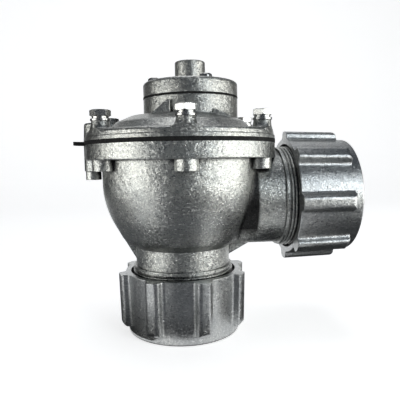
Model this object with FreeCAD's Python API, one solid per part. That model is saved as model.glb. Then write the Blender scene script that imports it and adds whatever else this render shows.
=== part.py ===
import FreeCAD, Part
import math
import os

# A right-angle pulse valve for a 48.3 mm (1-1/2 inch) pipe. A pilot on the cap's port vents the
# pilot diaphragm, which vents the main diaphragm, which lifts off the seat of the flow tube.
# Both ports grip a plain pipe end with a compression nut, a washer and a rubber seal.
#
# Lengths are in millimetres. +Z runs up the outlet and +X out of the inlet. The origin lies on the
# outlet's axis at the outer face of the outlet nut, on which the valve stands.

# The pipe and the play that each piece leaves around it
pipe_d = 48.3
socket_play = 0.45
seal_play = 0.30
washer_play = 0.45
lip_play = 0.85

# Clearances between pieces
face_gap = 0.1
running_gap = 0.3
thread_gap = 0.1
spring_gap = 0.15

# The pipe joint, measured along a port from the nut's outer face
lip_t = 4.0
washer_t = 2.0
seal_t = 7.0
nose_t = 2.6
mouth_cone = 4.0
thread_len = 25.5
runout_len = 1.8
socket_end = 40.0

# Port necks
neck_r = 28.9
thread_r = 30.8
runout_r = 30.3
inlet_reach = 99.1
inlet_nut_backed_off = 2.7

# Pipe nuts
nut_len = 37.0
nut_end_r = 34.5
nut_mouth_r = 35.5
nut_edge = 1.0
nut_play = 0.3
nut_recess_r = 32.4
nut_recess_t = 4.0
rib_count = 8
rib_rise = 4.7
rib_half = 3.2
rib_root_half = 3.9
rib_crown = 2.5
rib_fillet = 2.0
rib_start = 5.5
rib_end_round = 3.0
outlet_rib_turn = 14.5
inlet_rib_turn = 0.0

# Main flange, shared by the body, the diaphragm and the cover
flange_r = 57.0
flange_top = 114.1
flange_t = 9.2
flange_edge = 0.8
flange_ledge = 9.4
sheet_t = 1.5

# Body casting, its heights measured down from the flange's face
wall = 4.0
inlet_drop = 33.3
bowl_drop = 57.7
bowl_foot_w = 6.9
side_slope = 61.3
side_bend_share = 4.35
corner_bend = 10.0
foot_slope = 30.0
inlet_blend = 3.5
inlet_blend_low = 20.0
tube_bore_r = 21.0
tube_wall = 3.5
inlet_bore_r = 22.0
seat_round = 0.8
web_t = 5.0
web_left_in = 6.2
web_right_in = 4.6
web_drop = 47.7
web_left_lift = 2.3
web_right_lift = 3.9

# Bolts of the main flange
bolt_count = 6
bolt_first_turn = -90.0
bolt_edge = 5.3
bolt_r = 2.95
bolt_hole_r = 3.3
bolt_len = 25.0
tapped_depth = 12.9
body_boss_r = 6.2
body_boss_in = 1.0
body_boss_t = 15.3
cover_boss_h = 12.0
cover_boss_r = 4.9
cover_boss_foot_r = 5.6
cover_boss_flare_r = 8.6
cover_boss_flare = 3.0
hex_across = 10.0
hex_t = 3.6
hex_turns = (19.6, 22.7, 12.0, 40.0, 5.0, 9.6)
spring_washer_r = 4.6
spring_washer_t = 1.3
spring_washer_split = 0.8
flat_washer_r = 5.5
flat_washer_t = 1.2
washer_hole_r = 3.2

# Bleed passage in the ear on the side away from the inlet, its depths and heights measured from
# the flange's face
ear_in = 6.8
ear_r = 8.0
ear_depth = 15.6
ear_height = 12.9
ear_top_r = 7.4
ear_round = 1.5
drop_in = 4.0
drop_r = 4.6
drop_depth = 20.8
passage_r = 2.2
bleed_r = 1.1
passage_depth = 17.1
passage_height = 7.4
body_cross_depth = 14.5
cover_cross_height = 4.1
tab_reach = 7.0
tab_half = 3.5

# Cover casting, its heights measured up from the body's flange
step_h = 3.9
step_in = 0.7
rim_h = 7.1
rim_round = 1.6
dome_foot_in = 0.1
dome_foot_h = 7.9
dome_side_in = 4.6
dome_side_h = 12.7
dome_top_in = 13.6
dome_top_h = 16.5
dome_bend = 5.0
skirt_h = 3.3
shoulder_in = 7.1
shoulder_h = 9.5
ceiling_in = 17.6
ceiling_h = 13.9

# Gussets from the pilot housing down to the dome
gusset_t = 3.0
gusset_in = 2.65
gusset_round = 1.2
gusset_left_h = 23.5
gusset_left_reach = 10.0
gusset_right_h = 18.1
gusset_right_reach = 8.0
gusset_foot_h = 14.5

# Pilot housing and cap, on their own axis
pilot_x = 6.55
housing_r = 28.5
housing_h = 26.5
housing_depth = 8.6
pilot_chamber_r = 18.5
pilot_sheet_t = 0.9
pilot_bore_r = 6.0
pilot_seat_r = 8.5
vent_r = 3.5
vent_drop = 4.7
vent_turns = (63.0, 153.0)
cap_rim_h = 8.7
cap_crown_h = 9.4
cap_roof_h = 5.4
cap_round = 2.0
port_boss_r = 9.2
port_boss_h = 21.5
port_boss_round = 0.9
port_foot_bend = 1.2
port_r = 5.72
port_chamfer = 0.6
port_depth = 10.6
port_hole_r = 3.5
port_ledge_t = 1.4
spring_bore_r = 7.2

# Screws of the cap
screw_count = 4
screw_circle_r = 23.0
screw_first_turn = -72.0
screw_r = 1.95
screw_hole_r = 2.25
screw_len = 16.0
screw_head_r = 4.0
screw_head_t = 3.1
screw_head_round = 1.8
spot_r = 4.5
spot_sunk = 0.3
screw_hole_depth = 9.0

# Main diaphragm and the discs that clamp its middle
middle_drop = 2.4
roll_half = 2.5
roll_drop = 5.4
disc_lap = 2.0
disc_t = 2.0
seat_rubber_t = 1.8
seat_rubber_half = 3.6
plate_in = 0.5
plate_t = 1.6
plate_round = 0.7
rivet_r = 4.0
rivet_head_r = 7.0
rivet_head_t = 1.2

# Pilot diaphragm and its discs
pilot_disc_lap = 2.0
pilot_disc_t = 1.4
pilot_rubber_in = 0.5
pilot_rubber_t = 1.5
pilot_plate_lap = 1.0
pilot_plate_t = 1.0
pilot_rivet_r = 1.8
pilot_rivet_head_r = 3.2
pilot_rivet_head_t = 0.8

# Springs
main_wire_r = 0.75
main_spring_low_play = 6.0
main_spring_high_play = 7.0
main_spring_turns = 4
pilot_wire_r = 0.5
pilot_spring_play = 1.6
pilot_spring_turns = 5
stations_per_turn = 12

# Sizes that follow
pipe_r = pipe_d / 2
socket_r = pipe_r + socket_play
neck_end = lip_t + face_gap + washer_t + seal_t + running_gap
thread_end = neck_end + thread_len
runout_end = thread_end + runout_len
tube_r = tube_bore_r + tube_wall
bolt_circle_r = flange_r - bolt_edge
bowl_r = flange_r - flange_ledge
chamber_r = bowl_r - wall
bowl_low_r = neck_r + bowl_foot_w
bowl_low_z = flange_top - bowl_drop
inlet_z = flange_top - inlet_drop
flange_low = flange_top - flange_t
ear_x = ear_in - flange_r
drop_x = drop_in - flange_r
cover_low = flange_top + sheet_t
step_z = flange_top + step_h
rim_z = flange_top + rim_h
ceiling_z = flange_top + ceiling_h
ceiling_r = chamber_r - ceiling_in
shoulder_z = flange_top + shoulder_h
shoulder_r = chamber_r - shoulder_in
cover_boss_top = flange_top + cover_boss_h
housing_top = flange_top + housing_h
housing_floor = housing_top - housing_depth
disc_r = tube_r + disc_lap
middle_low = flange_top - middle_drop
middle_top = middle_low + sheet_t
rubber_low = middle_low - disc_t - seat_rubber_t
seat_z = rubber_low - running_gap
seat_r = (tube_bore_r + tube_r) / 2
washer_top = cover_boss_top + flat_washer_t
head_low = washer_top + spring_washer_t
cap_low = housing_top + pilot_sheet_t
cap_rim_z = cap_low + cap_rim_h
cap_crown_z = cap_low + cap_crown_h
screw_seat_z = cap_rim_z - spot_sunk
port_boss_top = cap_low + port_boss_h
pilot_disc_r = pilot_seat_r + pilot_disc_lap
pilot_rubber_low = housing_top - pilot_disc_t - pilot_rubber_t
pilot_seat_z = pilot_rubber_low - running_gap
port_floor = port_boss_top - port_depth
spring_bore_top = port_floor - port_ledge_t
inlet_nut_x = inlet_reach + inlet_nut_backed_off

UP = FreeCAD.Vector(0, 0, 1)


def point(r, z):
    """A point of an outline that lies in the XZ plane."""
    return FreeCAD.Vector(r, 0, z)


def corner(before, here, after, bend):
    """The start, middle and end of the arc that rounds a corner."""
    back = (before - here).normalize()
    ahead = (after - here).normalize()
    half = back.getAngle(ahead) / 2
    reach = bend / math.tan(half)
    inward = (back + ahead).normalize()
    middle = here + inward * (bend / math.sin(half) - bend)
    return here + back * reach, middle, here + ahead * reach


def outline(corners, place=point):
    """A closed wire through corners (r, z) or (r, z, bend), where a bend is a rounding radius."""
    spots = [place(c[0], c[1]) for c in corners]
    edges = []
    ends = []
    for i, c in enumerate(corners):
        if len(c) < 3:
            ends.append((spots[i], spots[i]))
            continue
        start, middle, end = corner(spots[i - 1], spots[i], spots[(i + 1) % len(spots)], c[2])
        edges.append(Part.Arc(start, middle, end).toShape())
        ends.append((start, end))
    for i, (_, leave) in enumerate(ends):
        arrive = ends[(i + 1) % len(ends)][0]
        if leave.distanceToPoint(arrive) > 1e-6:
            edges.append(Part.LineSegment(leave, arrive).toShape())
    return Part.Wire(Part.__sortEdges__(edges))


def turned(corners, x=0.0, y=0.0):
    """The solid that an outline sweeps around a vertical axis."""
    solid = Part.Face(outline(corners)).revolve(FreeCAD.Vector(0, 0, 0), UP, 360)
    return solid.translate(FreeCAD.Vector(x, y, 0))


def rod(radius, low, high, x=0.0, y=0.0):
    """An upright cylinder between two heights."""
    return Part.makeCylinder(radius, high - low, FreeCAD.Vector(x, y, low), UP)


def lying(radius, start, direction, length):
    """A cylinder from a point along a direction."""
    return Part.makeCylinder(radius, length, FreeCAD.Vector(*start), FreeCAD.Vector(*direction))


def on_circle(radius, degrees, x=0.0):
    """The X and Y of a place on a circle around an upright axis."""
    turn = math.radians(degrees)
    return x + radius * math.cos(turn), radius * math.sin(turn)


def around(count, first):
    """Evenly spaced angles in degrees."""
    return [first + i * 360.0 / count for i in range(count)]


def joined(shapes):
    """One solid from overlapping shapes."""
    return shapes[0].multiFuse(shapes[1:]).removeSplitter()


def group(shapes):
    """Separate solids in one compound."""
    return Part.Compound(shapes)


def at_inlet(shape, reach):
    """Lays a port piece, made along +Z from its outer face, on the inlet's axis, pointing inward."""
    laid = shape.copy()
    laid.rotate(FreeCAD.Vector(0, 0, 0), FreeCAD.Vector(0, 1, 0), -90)
    return laid.translate(FreeCAD.Vector(reach, 0, inlet_z))


def meet(spot_a, slope_a, spot_b, slope_b):
    """Where two lines cross, each given by a point (r, z) and its slope in degrees."""
    ar, az = math.cos(math.radians(slope_a)), math.sin(math.radians(slope_a))
    br, bz = math.cos(math.radians(slope_b)), math.sin(math.radians(slope_b))
    reach = ((spot_b[0] - spot_a[0]) * bz - (spot_b[1] - spot_a[1]) * br) / (ar * bz - az * br)
    return spot_a[0] + ar * reach, spot_a[1] + az * reach


def bowl_outline(inset, top):
    """The bowl's profile, moved inward by an inset and closed on the axis at a height."""
    side_r, side_z = math.sin(math.radians(side_slope)), math.cos(math.radians(side_slope))
    foot_r, foot_lift = math.sin(math.radians(foot_slope)), math.cos(math.radians(foot_slope))
    side_bend = (bowl_r - bowl_low_r) * side_bend_share
    side = (bowl_low_r - inset * side_r, bowl_low_z + inset * side_z)
    foot = (bowl_low_r - inset * foot_r, bowl_low_z + inset * foot_lift)
    knee = meet((bowl_r - inset, bowl_low_z), 90, side, side_slope)
    low = meet(side, side_slope, foot, foot_slope)
    axis_end = meet(foot, foot_slope, (0, 0), 90)
    return [
        (0, axis_end[1]),
        (low[0], low[1], corner_bend - inset),
        (knee[0], knee[1], side_bend - inset),
        (bowl_r - inset, top),
        (0, top),
    ]


def neck(length):
    """A port's neck from its end inward: thread, run-out and plain neck."""
    return turned([
        (0, neck_end),
        (thread_r, neck_end),
        (thread_r, thread_end),
        (runout_r, thread_end),
        (runout_r, runout_end),
        (neck_r, runout_end),
        (neck_r, length),
        (0, length),
    ])


def socket():
    """The space that the pipe's end fills in a neck, with the cone that centres the seal."""
    return turned([
        (0, neck_end - face_gap),
        (socket_r + mouth_cone + face_gap, neck_end - face_gap),
        (socket_r, neck_end + mouth_cone),
        (socket_r, socket_end),
        (0, socket_end),
    ])


def ear(low, high, top_radius, top_round):
    """The lobe beside the flange that carries the bleed passage."""
    return turned([(0, low), (ear_r, low), (top_radius, high, top_round), (0, high)], ear_x)


def body_bosses():
    """Pads under the flange, flush with its edge, that hold the bolts' threads."""
    low = flange_top - body_boss_t
    pads = [rod(body_boss_r, low, flange_top, *on_circle(bolt_circle_r - body_boss_in, turn))
            for turn in around(bolt_count, bolt_first_turn)]
    trim = rod(flange_r, low, flange_top)
    return [pad.common(trim) for pad in pads]


def web():
    """The flat web in the plane of both ports, from the bowl and the inlet down to the neck."""
    top = flange_top - web_drop
    right_x = bowl_r - web_right_in
    face = Part.Face(outline([
        (web_left_in - bowl_r, top),
        (wall / 4 - neck_r, runout_end + web_left_lift),
        (neck_r - wall / 4, runout_end + web_right_lift),
        (right_x, inlet_z - neck_r + wall / 4),
        (right_x, top),
    ]))
    return face.extrude(FreeCAD.Vector(0, web_t, 0)).translate(FreeCAD.Vector(0, -web_t / 2, 0))


def bowl_and_necks():
    """The bowl with both necks, the corner where the inlet's neck leaves it filled."""
    bowl = turned(bowl_outline(0, flange_top))
    inlet = at_inlet(neck(inlet_reach - tube_bore_r / 2), inlet_reach)
    solid = joined([bowl, inlet, neck(bowl_low_z)])
    seam = [edge for edge in solid.Edges if not edge.Degenerated and on_seam(edge)]
    return solid.makeFillet(inlet_blend, seam)


def on_seam(edge):
    """Whether an edge is one of the upper ones where the inlet's neck meets the bowl.

    The fillet runs on from these by itself, down to the outlet's neck.
    """
    near = 0.01
    spots = edge.discretize(5)
    on_inlet = all(abs(math.hypot(spot.y, spot.z - inlet_z) - neck_r) < near for spot in spots)
    on_bowl = all(math.hypot(spot.x, spot.y) < bowl_r + near for spot in spots)
    return on_inlet and on_bowl and edge.BoundBox.ZMin > inlet_z - inlet_blend_low


def valve_body():
    """The body casting: a bowl around the flow tube and its seat, two necks and the flange."""
    flange = turned([
        (0, flange_low),
        (flange_r, flange_low, flange_edge),
        (flange_r, flange_top),
        (0, flange_top),
    ])
    solid = joined([
        bowl_and_necks(),
        flange,
        ear(flange_top - ear_depth, flange_top, ear_r, flange_edge),
        rod(drop_r, flange_top - drop_depth, flange_top, drop_x),
        web(),
        *body_bosses(),
    ])
    tube = turned([
        (0, 0),
        (tube_r, 0),
        (tube_r, seat_z, seat_round),
        (0, seat_z),
    ])
    chamber = turned(bowl_outline(wall, flange_top + 1.0)).cut(tube)
    above_seat = rod(tube_r, seat_z, flange_top + 1.0)
    inlet_bore = lying(inlet_bore_r, (tube_r + wall, 0, inlet_z), (1, 0, 0), inlet_reach - tube_r - wall)
    holes = [
        chamber,
        above_seat,
        rod(tube_bore_r, 0, seat_z + 1.0),
        inlet_bore,
        socket(),
        at_inlet(socket(), inlet_reach),
        rod(passage_r, flange_top - passage_depth, flange_top + 1.0, drop_x),
        lying(passage_r, (drop_x, 0, flange_top - body_cross_depth), (1, 0, 0), -drop_x - chamber_r + wall / 2),
    ]
    tapped_floor = flange_top - tapped_depth
    for turn in around(bolt_count, bolt_first_turn):
        holes.append(rod(bolt_r + thread_gap, tapped_floor, flange_top + 1.0, *on_circle(bolt_circle_r, turn)))
    return solid.cut(holes)


def gusset(wall_x, top_z, foot_x):
    """A flat rib from the pilot housing's wall down to the dome."""
    inner_x = (wall_x + pilot_x) / 2
    foot_z = flange_top + gusset_foot_h
    face = Part.Face(outline([
        (inner_x, top_z),
        (wall_x, top_z, gusset_round),
        (foot_x, foot_z),
        (foot_x, shoulder_z + wall),
        (inner_x, shoulder_z + wall),
    ]))
    return face.extrude(FreeCAD.Vector(0, gusset_t, 0))


def gussets():
    """Two gussets on each side, which cut the housing's wall near its front and back."""
    y = housing_r - gusset_in
    half_chord = math.sqrt(housing_r ** 2 - y ** 2)
    left_x = pilot_x - half_chord
    right_x = pilot_x + half_chord
    ribs = []
    for side in (-y, y):
        left = gusset(left_x, flange_top + gusset_left_h, left_x - gusset_left_reach)
        right = gusset(right_x, flange_top + gusset_right_h, right_x + gusset_right_reach)
        ribs += [rib.translate(FreeCAD.Vector(0, side - gusset_t / 2, 0)) for rib in (left, right)]
    return ribs


def cover_bosses():
    """The bolt bosses on the cover, flared at the foot and flush with the rim."""
    bosses = []
    for turn in around(bolt_count, bolt_first_turn):
        x, y = on_circle(bolt_circle_r, turn)
        bosses.append(turned([
            (0, step_z),
            (cover_boss_flare_r, step_z),
            (cover_boss_flare_r, rim_z),
            (cover_boss_foot_r, rim_z + 0.6, cover_boss_flare),
            (cover_boss_r, cover_boss_top),
            (0, cover_boss_top),
        ], x, y))
    trim = rod(flange_r - step_in, step_z, cover_boss_top)
    return [boss.common(trim) for boss in bosses]


def main_cover():
    """The cover casting: flange and dome, with the pilot's housing, seat and vents on top."""
    step_r = flange_r - step_in
    dome_top_z = flange_top + dome_top_h
    dome = turned([
        (0, cover_low),
        (flange_r, cover_low),
        (flange_r, step_z),
        (step_r, step_z),
        (step_r, rim_z, rim_round),
        (chamber_r - dome_foot_in, flange_top + dome_foot_h, dome_bend / 2),
        (chamber_r - dome_side_in, flange_top + dome_side_h, dome_bend),
        (chamber_r - dome_top_in, dome_top_z, dome_bend),
        (0, dome_top_z),
    ])
    chamber = turned([
        (0, cover_low - 1.0),
        (chamber_r, cover_low - 1.0),
        (chamber_r, flange_top + skirt_h),
        (shoulder_r, shoulder_z, dome_bend),
        (ceiling_r, ceiling_z, dome_bend),
        (0, ceiling_z),
    ])
    solid = joined([
        dome,
        rod(housing_r, ceiling_z, housing_top, pilot_x),
        ear(cover_low, flange_top + ear_height, ear_top_r, ear_round),
        *cover_bosses(),
        *gussets(),
    ])
    holes = [chamber, rod(pilot_chamber_r, housing_floor, housing_top + 1.0, pilot_x)]
    for turn in vent_turns:
        x, y = on_circle(1.0, turn)
        holes.append(lying(vent_r, (pilot_x, 0, housing_top - vent_drop), (x, y, 0), housing_r + 2.0))
    for turn in around(bolt_count, bolt_first_turn):
        holes.append(rod(bolt_hole_r, cover_low - 1.0, cover_boss_top + 1.0, *on_circle(bolt_circle_r, turn)))
    for turn in around(screw_count, screw_first_turn):
        x, y = on_circle(screw_circle_r, turn, pilot_x)
        holes.append(rod(screw_r + thread_gap, housing_top - screw_hole_depth, housing_top + 1.0, x, y))
    holes.append(rod(passage_r, cover_low - 1.0, flange_top + passage_height, drop_x))
    holes.append(lying(bleed_r, (drop_x, 0, flange_top + cover_cross_height), (1, 0, 0), -drop_x - shoulder_r))
    seat = rod(pilot_seat_r, housing_floor - 1.0, pilot_seat_z, pilot_x)
    return joined([solid.cut(holes), seat]).cut(rod(pilot_bore_r, ceiling_z - 1.0, housing_top, pilot_x))


def pilot_cap():
    """The cap over the pilot diaphragm, with the threaded port for the pilot valve's line."""
    roof_z = cap_low + cap_roof_h
    cap = turned([
        (pilot_chamber_r, cap_low),
        (housing_r, cap_low),
        (housing_r, cap_rim_z, cap_round),
        (port_boss_r, cap_crown_z, port_foot_bend),
        (port_boss_r, port_boss_top, port_boss_round),
        (port_r + port_chamfer, port_boss_top),
        (port_r, port_boss_top - port_chamfer),
        (port_r, port_floor),
        (port_hole_r, port_floor),
        (port_hole_r, spring_bore_top),
        (spring_bore_r, spring_bore_top),
        (spring_bore_r, roof_z),
        (pilot_chamber_r, roof_z, port_foot_bend),
    ], pilot_x)
    holes = []
    for turn in around(screw_count, screw_first_turn):
        x, y = on_circle(screw_circle_r, turn, pilot_x)
        holes.append(rod(screw_hole_r, cap_low - 1.0, cap_crown_z, x, y))
        holes.append(rod(spot_r, screw_seat_z, cap_crown_z + 1.0, x, y))
    return cap.cut(holes)


def main_diaphragm():
    """The rubber sheet between the flanges, rolled around the discs, with a tab at the ear."""
    middle = middle_low + sheet_t / 2
    low = flange_top - roll_drop
    roll_r = (disc_r + chamber_r) / 2
    rolled = [
        (rivet_r + face_gap, middle),
        (disc_r + sheet_t, middle, roll_half),
        (roll_r - roll_half, low, roll_half),
        (roll_r + roll_half, low, roll_half),
        (chamber_r - sheet_t, flange_top + sheet_t / 2, roll_half),
        (chamber_r + 1.0, flange_top + sheet_t / 2),
    ]
    sheet = turned(thickened(rolled, sheet_t))
    rim = rod(flange_r, flange_top, cover_low).cut(rod(chamber_r, flange_top, cover_low))
    lobe = rod(ear_r, flange_top, cover_low, ear_x)
    tab_x = -flange_r - tab_reach
    tab = Part.makeBox(ear_x - tab_x, 2 * tab_half, sheet_t, FreeCAD.Vector(tab_x, -tab_half, flange_top))
    tab = tab.makeFillet(tab_half * 0.6, [e for e in tab.Edges if upright(e) and e.CenterOfMass.x < tab_x + 0.1])
    lobe = lobe.cut(rod(chamber_r, flange_top, cover_low))
    tab = tab.cut(rod(chamber_r, flange_top, cover_low))
    holes = [rod(passage_r, flange_top - 1.0, cover_low + 1.0, drop_x)]
    for turn in around(bolt_count, bolt_first_turn):
        holes.append(rod(bolt_hole_r, flange_top - 1.0, cover_low + 1.0, *on_circle(bolt_circle_r, turn)))
    return joined([sheet, rim, lobe, tab]).cut(holes)


def upright(edge):
    """Whether an edge runs along Z."""
    return abs(edge.tangentAt(edge.FirstParameter).z) > 0.99


def thickened(path, thickness):
    """A closed outline around an open path, half a thickness to each side of it."""
    sides = []
    for half in (thickness / 2, -thickness / 2):
        side = []
        for i, spot in enumerate(path):
            here = point(spot[0], spot[1])
            back = point(*path[max(i - 1, 0)][:2])
            ahead = point(*path[min(i + 1, len(path) - 1)][:2])
            first = (here - back) if i else (ahead - here)
            last = (ahead - here) if i < len(path) - 1 else (here - back)
            mitre = (first.normalize() + last.normalize()).normalize()
            offset = FreeCAD.Vector(-mitre.z, 0, mitre.x) * (half / mitre.dot(first))
            moved = here + offset
            bend = ()
            if len(spot) > 2:
                left_turn = first.x * last.z - first.z * last.x > 0
                bend = (spot[2] - half if left_turn else spot[2] + half,)
            side.append((moved.x, moved.z) + bend)
        sides.append(side)
    return sides[1] + sides[0][::-1]


def pilot_diaphragm():
    """The flat sheet under the cap."""
    sheet = rod(housing_r, housing_top, cap_low, pilot_x)
    holes = [rod(pilot_rivet_r + face_gap, housing_top - 1.0, cap_low + 1.0, pilot_x)]
    for turn in around(screw_count, screw_first_turn):
        x, y = on_circle(screw_circle_r, turn, pilot_x)
        holes.append(rod(screw_hole_r, housing_top - 1.0, cap_low + 1.0, x, y))
    return sheet.cut(holes)


def ring(inner, outer, low, high, edge=0.0, x=0.0):
    """A flat ring, with its upper outer edge rounded where an edge is given."""
    top = (outer, high, edge) if edge else (outer, high)
    return turned([(inner, low), (outer, low), top, (inner, high)], x)


def rivet(radius, head_r, head_t, low, plate_top, x=0.0):
    """A rivet whose foot is flush with the lower disc and whose head clamps the upper plate."""
    return turned([
        (0, low),
        (radius, low),
        (radius, plate_top),
        (head_r, plate_top),
        (head_r, plate_top + head_t, head_t * 0.6),
        (0, plate_top + head_t),
    ], x)


def wire_section(turn, r, z, lead, wire_r):
    """An eight-sided section of a spring's wire, standing across the wire at an angle of the coil."""
    across = FreeCAD.Vector(math.cos(turn), math.sin(turn), 0)
    along = FreeCAD.Vector(-r * math.sin(turn), r * math.cos(turn), lead / (2 * math.pi)).normalize()
    upward = across.cross(along) * -1
    middle = across * r + UP * z
    spots = []
    for i in range(9):
        side = math.radians(45 * i)
        spots.append(middle + across * (wire_r * math.cos(side)) + upward * (wire_r * math.sin(side)))
    return Part.makePolygon(spots)


def helix_spring(low_r, high_r, low, high, turns, wire_r, x=0.0):
    """A coil spring between two heights, tapered where its end radii differ, of eight-sided wire."""
    rise = high - low - 2 * wire_r
    steps = turns * stations_per_turn
    sections = []
    for i in range(steps + 1):
        share = i / steps
        r = low_r + (high_r - low_r) * share
        z = low + wire_r + rise * share
        sections.append(wire_section(2 * math.pi * turns * share, r, z, rise / turns, wire_r))
    return Part.makeLoft(sections, True, True).translate(FreeCAD.Vector(x, 0, 0))


def hex_bolt(x, y, turn):
    """A hexagon bolt with a chamfered head, its thread left plain."""
    across_corners = hex_across / math.cos(math.radians(30))
    ring_points = []
    for i in range(7):
        cx, cy = on_circle(across_corners / 2, turn + 60 * i)
        ring_points.append(FreeCAD.Vector(x + cx, y + cy, head_low))
    head = Part.Face(Part.makePolygon(ring_points)).extrude(UP * hex_t)
    bevel = (across_corners - hex_across) / 2
    chamfer = turned([
        (0, head_low),
        (hex_across / 2, head_low),
        (hex_across / 2 + bevel, head_low + bevel * 0.6),
        (hex_across / 2 + bevel, head_low + hex_t - bevel * 0.6),
        (hex_across / 2 - 0.3, head_low + hex_t),
        (0, head_low + hex_t),
    ], x, y)
    return joined([head.common(chamfer), rod(bolt_r, head_low - bolt_len, head_low, x, y)])


def spring_washer(x, y, turn):
    """A split spring washer, drawn flat."""
    washer = rod(spring_washer_r, washer_top, head_low, x, y)
    slot = Part.makeBox(spring_washer_r + 1.0, spring_washer_split, spring_washer_t + 2.0)
    slot.translate(FreeCAD.Vector(0, -spring_washer_split / 2, washer_top - 1.0))
    slot.rotate(FreeCAD.Vector(0, 0, 0), UP, turn)
    return washer.cut([rod(washer_hole_r, washer_top, head_low, x, y), slot.translate(FreeCAD.Vector(x, y, 0))])


def flange_hardware():
    """The bolts, spring washers and flat washers of the main flange, one group of each."""
    bolts = []
    springs = []
    flats = []
    for turn, head_turn in zip(around(bolt_count, bolt_first_turn), hex_turns):
        x, y = on_circle(bolt_circle_r, turn)
        bolts.append(hex_bolt(x, y, head_turn))
        springs.append(spring_washer(x, y, head_turn + 150))
        flats.append(rod(flat_washer_r, cover_boss_top, washer_top, x, y).cut(
            rod(washer_hole_r, cover_boss_top, washer_top, x, y)))
    return group(bolts), group(springs), group(flats)


def cap_screws():
    """The pan-head screws of the cap, drive recess and thread left out."""
    screws = []
    for turn in around(screw_count, screw_first_turn):
        x, y = on_circle(screw_circle_r, turn, pilot_x)
        screws.append(turned([
            (0, screw_seat_z - screw_len),
            (screw_r, screw_seat_z - screw_len),
            (screw_r, screw_seat_z),
            (screw_head_r, screw_seat_z),
            (screw_head_r, screw_seat_z + screw_head_t, screw_head_round),
            (0, screw_seat_z + screw_head_t),
        ], x, y))
    return group(screws)


def rib_section(root, z):
    """A grip rib's cross-section, on the nut's +X side."""
    crest = root + rib_rise
    skirt = rib_root_half + rib_fillet * 1.5
    sunk = root - 0.7

    def place(x, y):
        return FreeCAD.Vector(x, y, z)

    return outline([
        (sunk - 2.0, -skirt),
        (sunk, -skirt),
        (root - 0.2, -rib_root_half, rib_fillet),
        (crest, -rib_half, rib_crown),
        (crest, rib_half, rib_crown),
        (root - 0.2, rib_root_half, rib_fillet),
        (sunk, skirt),
        (sunk - 2.0, skirt),
    ], place)


def nut_radius(z):
    """The nut's plain radius at a height, which grows from its end to its mouth."""
    return nut_end_r + (nut_mouth_r - nut_end_r) * z / nut_len


def pipe_nut(first_rib):
    """The compression nut with its grip ribs, standing on its outer face, its thread left plain."""
    shell = turned([
        (pipe_r + lip_play, 0),
        (nut_end_r, 0, nut_edge),
        (nut_mouth_r, nut_len),
        (nut_recess_r, nut_len),
        (nut_recess_r, nut_len - nut_recess_t),
        (thread_r + nut_play, nut_len - nut_recess_t),
        (thread_r + nut_play, lip_t),
        (pipe_r + lip_play, lip_t),
    ])
    rib = Part.makeLoft([rib_section(nut_radius(z), z) for z in (rib_start, nut_len)], True, True)
    crest = nut_radius(rib_start) + rib_rise
    rounded_end = turned([
        (nut_end_r / 2, rib_start),
        (crest, rib_start, rib_end_round),
        (nut_radius(nut_len) + rib_rise + 0.1, nut_len),
        (nut_end_r / 2, nut_len),
    ])
    rib = rib.common(rounded_end)
    parts = [shell]
    for turn in around(rib_count, first_rib):
        copy = rib.copy()
        parts.append(copy.rotate(FreeCAD.Vector(0, 0, 0), UP, turn))
    return joined(parts)


def seal_washer():
    """The steel washer between the nut's lip and the seal."""
    low = lip_t + face_gap
    return ring(pipe_r + washer_play, thread_r - 0.2, low, low + washer_t)


def pipe_seal():
    """The rubber ring, whose tapered nose enters the neck's mouth."""
    low = lip_t + face_gap + washer_t
    inner = pipe_r + seal_play
    nose_root = socket_r + mouth_cone - running_gap * 2
    return turned([
        (inner, low),
        (thread_r - 0.4, low),
        (thread_r - 0.4, low + seal_t),
        (nose_root, low + seal_t),
        (nose_root - nose_t, low + seal_t + nose_t),
        (inner, low + seal_t + nose_t),
    ])


def port_pieces():
    """Nut, washer and seal at each port."""
    pieces = {
        "outlet_nut": pipe_nut(outlet_rib_turn),
        "outlet_washer": seal_washer(),
        "outlet_seal": pipe_seal(),
    }
    pieces["inlet_nut"] = at_inlet(pipe_nut(inlet_rib_turn), inlet_nut_x)
    pieces["inlet_washer"] = at_inlet(seal_washer(), inlet_nut_x)
    pieces["inlet_seal"] = at_inlet(pipe_seal(), inlet_nut_x)
    return pieces


def main_disc_pieces():
    """The discs, seat rubber and rivet that move with the middle of the main diaphragm."""
    low = rubber_low + seat_rubber_t
    plate_low = middle_top
    plate_r = disc_r - plate_in
    return {
        "main_seat_rubber": ring(seat_r - seat_rubber_half, seat_r + seat_rubber_half, rubber_low, low),
        "main_seat_disc": ring(rivet_r, disc_r, low, middle_low),
        "main_retaining_plate": ring(rivet_r, plate_r, plate_low, plate_low + plate_t, plate_round),
        "main_disc_rivet": rivet(rivet_r, rivet_head_r, rivet_head_t, low, plate_low + plate_t),
    }


def pilot_disc_pieces():
    """The discs, seat rubber and rivet that move with the middle of the pilot diaphragm."""
    low = pilot_rubber_low + pilot_rubber_t
    top = cap_low + pilot_plate_t
    return {
        "pilot_seat_rubber": rod(pilot_disc_r - pilot_rubber_in, pilot_rubber_low, low, pilot_x),
        "pilot_seat_disc": ring(pilot_rivet_r, pilot_disc_r, low, housing_top, 0.0, pilot_x),
        "pilot_retaining_plate": ring(
            pilot_rivet_r, pilot_disc_r + pilot_plate_lap, cap_low, top, pilot_plate_t / 2, pilot_x),
        "pilot_disc_rivet": rivet(
            pilot_rivet_r, pilot_rivet_head_r, pilot_rivet_head_t, low, top, pilot_x),
    }


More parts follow.
